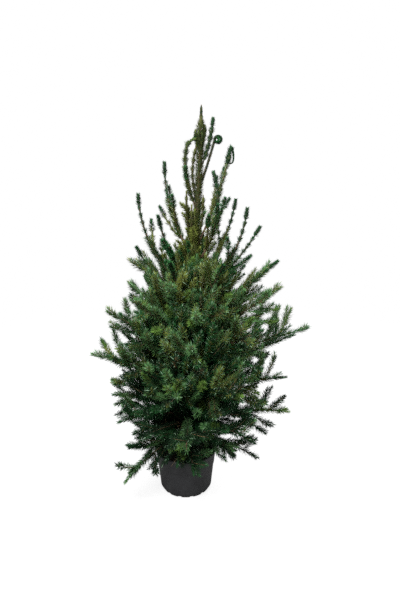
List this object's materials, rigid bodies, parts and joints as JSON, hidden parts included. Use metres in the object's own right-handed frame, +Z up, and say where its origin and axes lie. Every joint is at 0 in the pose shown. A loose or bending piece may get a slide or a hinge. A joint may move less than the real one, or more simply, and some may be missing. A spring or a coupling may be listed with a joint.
{
  "type": "potted serbian spruce",
  "caption": "Young slender spruce with upswept needled boughs and a leaning leader, growing in a round black plastic nursery pot.",
  "frame": {"origin": "centre of the pot's flat underside", "axes": "+Z up along the plant, -Y towards the side that the picture shows, +X to that side's right, where the leader leans"},
  "size_m": [0.7771, 0.5958, 1.4],
  "materials": {
    "pot_plastic": "matte black moulded plastic",
    "compost": "dark moist potting compost",
    "bark": "scaly brown-grey bark",
    "deep_needles": "deep green needles",
    "olive_needles": "olive green needles"
  },
  "bodies": {
    "root": {"pot": "pot_plastic", "soil": "compost", "trunk": "bark", "leader_needles": "olive_needles", "foliage_skirt_1": "deep_needles", "foliage_skirt_2": "deep_needles", "foliage_skirt_3": "deep_needles", "foliage_skirt_4": "deep_needles", "foliage_skirt_5": "deep_needles", "foliage_skirt_6": "deep_needles", "bough_lower_1": "bark", "foliage_lower_1": "deep_needles", "bough_lower_2": "bark", "foliage_lower_2": "deep_needles", "bough_lower_3": "bark", "foliage_lower_3": "deep_needles", "bough_lower_4": "bark", "foliage_lower_4": "deep_needles", "bough_lower_5": "bark", "foliage_lower_5": "deep_needles", "bough_lower_6": "bark", "foliage_lower_6": "deep_needles", "bough_middle_1": "bark", "foliage_middle_1": "deep_needles", "bough_middle_2": "bark", "foliage_middle_2": "deep_needles", "bough_middle_3": "bark", "foliage_middle_3": "deep_needles", "bough_middle_4": "bark", "foliage_middle_4": "deep_needles", "bough_middle_5": "bark", "foliage_middle_5": "deep_needles", "bough_middle_6": "bark", "foliage_middle_6": "deep_needles", "foliage_shoulder_1": "deep_needles", "foliage_shoulder_2": "deep_needles", "foliage_shoulder_3": "deep_needles", "foliage_shoulder_4": "deep_needles", "foliage_shoulder_5": "deep_needles", "foliage_waist_1": "olive_needles", "foliage_waist_2": "olive_needles", "foliage_waist_3": "olive_needles", "foliage_waist_4": "olive_needles", "foliage_waist_5": "olive_needles", "foliage_upper_1": "olive_needles", "foliage_upper_2": "olive_needles", "foliage_upper_3": "olive_needles", "foliage_upper_4": "olive_needles", "foliage_upper_5": "olive_needles", "foliage_crown_1": "olive_needles", "foliage_crown_2": "olive_needles", "foliage_crown_3": "olive_needles", "foliage_crown_4": "olive_needles", "foliage_crown_5": "olive_needles", "foliage_top_1": "olive_needles", "foliage_top_2": "olive_needles", "foliage_top_3": "olive_needles", "foliage_leader_1": "olive_needles", "foliage_leader_2": "olive_needles", "foliage_leader_3": "olive_needles"}
  },
  "joints": []
}
